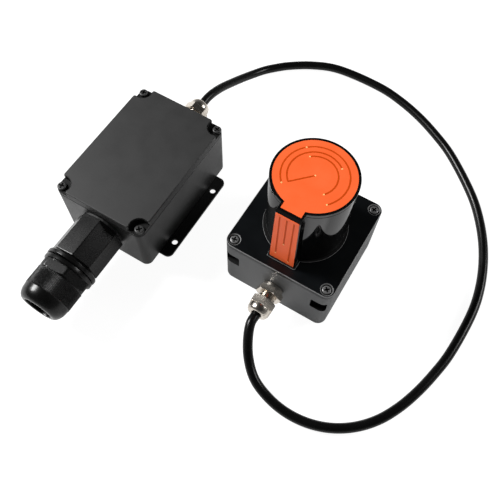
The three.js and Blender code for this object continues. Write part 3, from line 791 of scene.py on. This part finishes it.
def make_base_body():
    side, top = BASE["side"], BASE["lid_bottom"] - GAP
    inside = side - 2 * BASE["wall"]
    body = slab(
        "base_shell", rectangle(side, side, BASE["corner"], 12), 0, top, 0.8, 0.3)
    carve(body, slab("cavity", notched(inside, inside, BASE["post"]), BASE["wall"], top + 1))
    carve(body, lay_along_y(slab("bore", circle(6.5), side / 2 - 5, side / 2 + 2), BASE_GLAND[2]))
    for sx, sy in CORNERS:
        tool = slab(
            "pocket", rectangle(POCKET["far"] - POCKET["near"], POCKET["top"] - POCKET["bottom"], 1, 4),
            side / 2 - POCKET["depth"], side / 2 + 1)
        lay_along_y(tool, (POCKET["top"] + POCKET["bottom"]) / 2)
        moved(tool, Matrix.Diagonal((1, -sy, 1, 1)))
        carve(body, shift(tool, sx * (POCKET["far"] + POCKET["near"]) / 2, 0))
    place(body, Matrix(), "housings", ["base_body"], [base_paint, black_and_shade])

    # The pocket walls get the black material: painted shade.
    def painted_pocket_shade(middle, normal):
        return (POCKET["near"] - 0.1 < abs(middle.x) < POCKET["far"] + 0.1
                and POCKET["bottom"] - 0.1 < middle.z < POCKET["top"] + 0.1
                and side / 2 - POCKET["depth"] - 0.1 < abs(middle.y) < side / 2 - 0.3
                and not 0.01 < abs(normal.y) < 0.99)

    repaint(body, 1, painted_pocket_shade)


def make_base_lid():
    side = BASE["side"]
    lid = slab(
        "base_cover", rectangle(side, side, BASE["corner"], 12), BASE["lid_bottom"], BASE["top"],
        0.3, 0.7, 3)
    carve(lid, slab("bore", circle(BASE["lid_bore"], 96), BASE["lid_bottom"] - 1, BASE["top"] + 1))
    for sx, sy in CORNERS:
        radius, seat = BASE["counterbore"], BASE["screw_seat"]
        tool = turned("seat", [
            (0, seat - 6), (1.7, seat - 6), (1.7, seat), (radius - 0.6, seat), (radius - 0.6, 46.4),
            (radius, BASE["top"]), (radius, 48), (0, 48)], 56)
        carve(lid, shift(tool, sx * BASE["screw"], sy * BASE["screw"]))
    place(lid, Matrix(), "housings", ["base_lid"], [base_lid_paint, painted_highlight])
    # The lid's rounded top edge gets a painted highlight.
    repaint(lid, 1, lambda middle, normal: middle.z > BASE["top"] - 0.75 and 0.2 < normal.z < 0.9)
    spots = [(sx * BASE["screw"], sy * BASE["screw"]) for sx, sy in CORNERS]
    place_screws("base_lid_screw", spots, 2.9, 1.8, BASE["screw_seat"], screw_steel)


make_base_body()
make_base_lid()


# ---- scanner head -------------------------------------------------------------------------

HEAD = dict(
    flange=27.5, flange_bottom=47.3, flange_top=48.1, flange_bore=22.3, window=26, window_bore=23.5,
    window_top=100.7, cap_bottom=101, top=103.5, label=24.4, label_thick=0.6)
PILLAR = dict(front=31.2, top_half=8, foot_half=9.2, bevel=1.4, tab_half=6.5, tab_end=28.1)
TRACE_WIDTH = 0.95
TRACE_HEIGHT = 0.05


def make_flange():
    foot = [(-10, -32.5), (10, -32.5)]
    turn = math.degrees(math.acos(10 / HEAD["flange"]))
    outline = rounded([*foot, *arc(HEAD["flange"], -turn, 180 + turn, 120)], [1, 1, *[0] * 121], 4)
    flange = slab(
        "head_foot", outline, HEAD["flange_bottom"], HEAD["flange_top"], 0, 0.3)
    carve(flange, slab("bore", circle(HEAD["flange_bore"], 96), 46, 50))
    place(flange, Matrix(), "housings", ["head_flange"], [black_and_shade, painted_highlight])

    # The flange's rounded top edge gets a painted highlight.
    def painted_rim_highlight(middle, normal):
        return middle.z > HEAD["flange_top"] - 0.3 and 0.2 < normal.z < 0.9

    repaint(flange, 1, painted_rim_highlight)


def make_window():
    profile = rounded([
        (HEAD["window_bore"], HEAD["flange_top"] + GAP), (HEAD["window"], HEAD["flange_top"] + GAP),
        (HEAD["window"], HEAD["window_top"]), (HEAD["window_bore"], HEAD["window_top"])], 0.15)
    place(
        turned("window_tube", profile, 192), Matrix(), "housings", ["scan_window"], acrylic)


def make_pillar():
    """The rib in front of the window, a little wider at its foot, with softened edges."""
    back = HEAD["window"] + GAP
    rings = []
    low, high = HEAD["flange_top"] + GAP, HEAD["window_top"]
    for height in (low, high):
        share = (height - low) / (high - low)
        half = PILLAR["foot_half"] + (PILLAR["top_half"] - PILLAR["foot_half"]) * share
        turn = math.degrees(math.acos(half / back))
        face = [(-half, -PILLAR["front"]), (half, -PILLAR["front"])]
        outline = rounded([*face, *arc(back, -turn, -180 + turn, 12)], [0.7, 0.7, *[0] * 13], 5)
        rings.append([(x, y, height) for x, y in outline])
    place(loft("rib", rings), Matrix(), "housings", ["rear_pillar"], acrylic)


def make_cap():
    """The top disc and its tongue over the rib, with a bevelled nose and a bed for the label."""
    front, half, bevel = PILLAR["front"], PILLAR["top_half"], PILLAR["bevel"]
    outline = tabbed_circle(HEAD["window"], half, front)
    cap = slab("cap_plate", outline, HEAD["cap_bottom"], HEAD["top"], 0.15, 0.25)
    wedge = loft("wedge", [
        [(x, -front - 1, HEAD["top"] - bevel - 1), (x, -front + bevel + 1, HEAD["top"] + 1),
         (x, -front - 1, HEAD["top"] + 1)] for x in (-half - 1, half + 1)])
    carve(cap, wedge)
    bed = tabbed_circle(HEAD["label"] + 0.1, PILLAR["tab_half"] + 0.1, PILLAR["tab_end"] + 0.1)
    carve(cap, slab("bed", bed, HEAD["top"] - HEAD["label_thick"] - 0.1, HEAD["top"] + 1))
    place(cap, Matrix(), "housings", ["head_cap"], acrylic)


def ribbon(path, height):
    """A thin flat line along a path of (x, y), on the surface at height."""
    left, right = [], []
    for i, point in enumerate(path):
        along = Vector(path[min(i + 1, len(path) - 1)]) - Vector(path[max(i - 1, 0)])
        side = Vector((-along.y, along.x)).normalized() * TRACE_WIDTH / 2
        left.append(Vector(point) + side)
        right.append(Vector(point) - side)
    outline = [(p.x, p.y) for p in [*right, *reversed(left)]]
    return slab("line", outline, height - 0.2, height + TRACE_HEIGHT)


def joined(obj, others, material_index):
    """Adds the others to obj as loose parts with that material."""
    made = bmesh.new()
    made.from_mesh(obj.data)
    for other in others:
        before = len(made.faces)
        made.from_mesh(other.data)
        made.faces.ensure_lookup_table()
        for face in made.faces[before:]:
            face.material_index = material_index
        bpy.data.objects.remove(other)
    made.to_mesh(obj.data)
    made.free()
    return obj


def dot(x, y, height, radius=0.55):
    spot = slab("dot", circle(radius, 20), height - 0.2, height + TRACE_HEIGHT * 1.6, 0, 0.05)
    return shift(spot, x, y)


def polar(radius, angle):
    return radius * math.cos(math.radians(angle)), radius * math.sin(math.radians(angle))


def place_label(obj, lines, dots, to_world, node):
    """Joins a label's printed lines and dots to it, keeping a material for each."""
    for i, group in ((1, lines), (2, dots)):
        joined(obj, group, i)
    indices = [polygon.material_index for polygon in obj.data.polygons]
    place(obj, to_world, "housings", [node], [orange, trace, pale])
    for polygon, index in zip(obj.data.polygons, indices):
        polygon.material_index = index


def make_top_label():
    """The disc label, with three open arcs and a pointer, and a dot at the end of each line."""
    surface = HEAD["top"] - 0.1
    label = slab(
        "cap_label", tabbed_circle(HEAD["label"], PILLAR["tab_half"], PILLAR["tab_end"]),
        HEAD["top"] - HEAD["label_thick"], surface, 0, 0.08, 2)
    outer, middle, inner = 19.7, 16, 13
    x, y = polar(middle, 225.7)
    pointer = [(x * (1 - k / 4), y * (1 - k / 4)) for k in (1, 2, 3, 4)]
    lines = [
        ribbon(arc(outer, -43, 225, 90), surface),
        ribbon([*arc(middle, 47.6, 225.7, 70), *pointer], surface),
        ribbon(arc(inner, 131.8, -40.3, 70), surface),
    ]
    spots = [polar(outer, -43), polar(outer, 225), polar(outer, 133), polar(middle, 47.6), (0, 0),
             polar(inner, 131.8), polar(inner, -40.3)]
    place_label(label, lines, [dot(x, y, surface) for x, y in spots], Matrix(), "top_label")


def make_strip_label():
    """The label down the rib's front, drawn flat with its top towards +Y and then stood up."""
    low, high = HEAD["flange_top"] + 1, HEAD["top"] - PILLAR["bevel"] - 0.1
    outline = rounded([(-8.4, low), (8.4, low), (7.4, high), (-7.4, high)], 0.5, 3)
    label = slab("rib_label", outline, 0, 0.4, 0, 0.06, 2)
    lines, dots = [], []
    for x, length in ((-4.5, 43.7), (0, 28.7), (4.5, 47.4)):
        end = high - 2 - length
        lines.append(ribbon([(x, high - 2 - length * k / 4) for k in range(5)], 0.4))
        dots.append(dot(x, end, 0.4))
    upright = Matrix.Rotation(math.pi / 2, 4, "X")
    stand = Matrix.Translation((0, -(PILLAR["front"] + 0.1) * MM, 0)) @ upright
    place_label(label, lines, dots, stand, "strip_label")


make_flange()
make_window()
make_pillar()
make_cap()
make_top_label()
make_strip_label()


# ---- finishes for the CAD nodes that stay ---------------------------------------------------

KEPT = {
    "box_lid_seal": rubber, "base_lid_seal": rubber, "port_gasket": rubber,
    "box_gland_seal": rubber, "base_gland_seal": rubber,
    "plate_screw_1": screw_steel, "plate_screw_2": screw_steel,
    "box_board": board, "control_board": board,
    "box_terminal_block": nylon, "box_power_converter": nylon, "port_locknut": nylon,
    "encoder_sensor": nylon, "optics_holder": nylon,
    "box_board_socket": aluminium, "network_socket": aluminium, "motor_bracket": aluminium,
    "rotor_hub": aluminium, "mirror_mount": aluminium, "laser_module": aluminium,
    "box_gland_locknut": nickel, "box_gland_ring": nickel,
    "base_gland_locknut": nickel, "base_gland_ring": nickel,
    "lower_bearing": steel, "upper_bearing": steel, "motor_stator": steel, "spindle_shaft": steel,
    "encoder_disc": steel, "receiver_lens": glass, "scan_mirror": silver,
}
for node_name, node_material in KEPT.items():
    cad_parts[node_name].material_slots[0].material = node_material


# ---- floor and light ----------------------------------------------------------------------

FLOOR_REACH = 3.0


def add_floor(name, height, shade, glow):
    """A plain square floor, with that much light of its own."""
    r = FLOOR_REACH
    mesh = bpy.data.meshes.new(name)
    mesh.from_pydata(
        [(-r, -r, height), (r, -r, height), (r, r, height), (-r, r, height)], [], [(0, 1, 2, 3)])
    floor = bpy.data.objects.new(name, mesh)
    scene.collection.objects.link(floor)
    material = finish(name, grey(shade), grey(shade * 1.03), (0.8, 0.9), 0.002, 0.00001)
    shader = material.node_tree.nodes["Principled BSDF"]
    shader.inputs["Emission Color"].default_value = (1, 1, 1, 1)
    shader.inputs["Emission Strength"].default_value = glow
    mesh.materials.append(material)
    return floor


def add_floors():
    """A white floor that only the camera sees, and a hidden one that reflects and bounces light."""
    seen = add_floor("floor", -0.0002, 0.2, 0.95)
    seen.visible_glossy = seen.visible_diffuse = seen.visible_shadow = False
    bounce = add_floor("floor_bounce", -0.0004, 0.55, 0.42)
    bounce.visible_camera = False


def add_sky(horizon, overhead, strength):
    """A studio surround: dim walls to the horizon, and a darker ceiling."""
    world = bpy.data.worlds.new("studio")
    scene.world = world
    world.use_nodes = True
    nodes, links = world.node_tree.nodes, world.node_tree.links
    coordinates = nodes.new("ShaderNodeTexCoord")
    split = nodes.new("ShaderNodeSeparateXYZ")
    ramp = nodes.new("ShaderNodeValToRGB")
    ramp.color_ramp.elements[0].position = 0.3
    ramp.color_ramp.elements[0].color = (horizon, horizon, horizon, 1)
    ramp.color_ramp.elements[1].position = 0.75
    ramp.color_ramp.elements[1].color = (overhead, overhead, overhead, 1)
    links.new(coordinates.outputs["Generated"], split.inputs["Vector"])
    links.new(split.outputs["Z"], ramp.inputs["Fac"])
    background = nodes["Background"]
    background.inputs["Strength"].default_value = strength
    links.new(ramp.outputs["Color"], background.inputs["Color"])


def add_light(name, location, target, size, power):
    light = bpy.data.lights.new(name, "AREA")
    light.shape = "DISK"
    light.size = size
    light.energy = power
    obj = bpy.data.objects.new(name, light)
    obj.location = location
    obj.rotation_mode = "QUATERNION"
    obj.rotation_quaternion = (Vector(target) - Vector(location)).to_track_quat("-Z", "Y")
    scene.collection.objects.link(obj)


add_floors()
add_sky(0.2, 0.03, 1.0)
add_light("key", (-1.15, -0.2, 0.95), (0, 0, 0), 0.5, 30)
add_light("rim", (1.0, 0.75, 0.85), (0, 0, 0), 0.6, 9)
